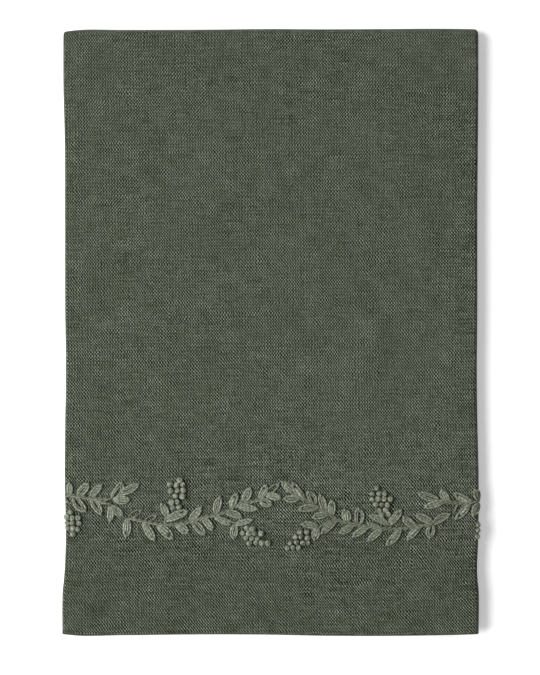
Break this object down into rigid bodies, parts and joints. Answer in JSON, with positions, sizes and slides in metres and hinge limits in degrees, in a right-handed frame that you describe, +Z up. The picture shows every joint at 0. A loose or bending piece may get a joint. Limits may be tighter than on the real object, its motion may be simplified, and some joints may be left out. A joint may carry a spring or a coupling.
{
  "type": "folded cloth napkin",
  "caption": "Linen table napkin folded in thirds and then in half, with a hemmed edge and a raised embroidered garland of leaves and berries along the hem.",
  "frame": {"origin": "middle of the underside of the folded napkin, on the surface it lies on", "axes": "+X across the pack, +Y along it from the hem to the half fold, +Z up through the layers to the embroidered face"},
  "size_m": [0.1754, 0.2545, 0.01],
  "materials": {
    "linen": "matte plain-weave linen, dark sage green",
    "thread": "soft sheen embroidery thread, paler sage green"
  },
  "bodies": {
    "root": {"napkin": "linen", "left_garland": "thread", "right_garland": "thread", "left_side_spray": "thread", "right_side_spray": "thread", "left_low_bunch": "thread", "right_low_bunch": "thread", "left_high_bunch": "thread", "right_high_bunch": "thread", "left_fold_bunch": "thread", "right_fold_bunch": "thread"}
  },
  "joints": []
}
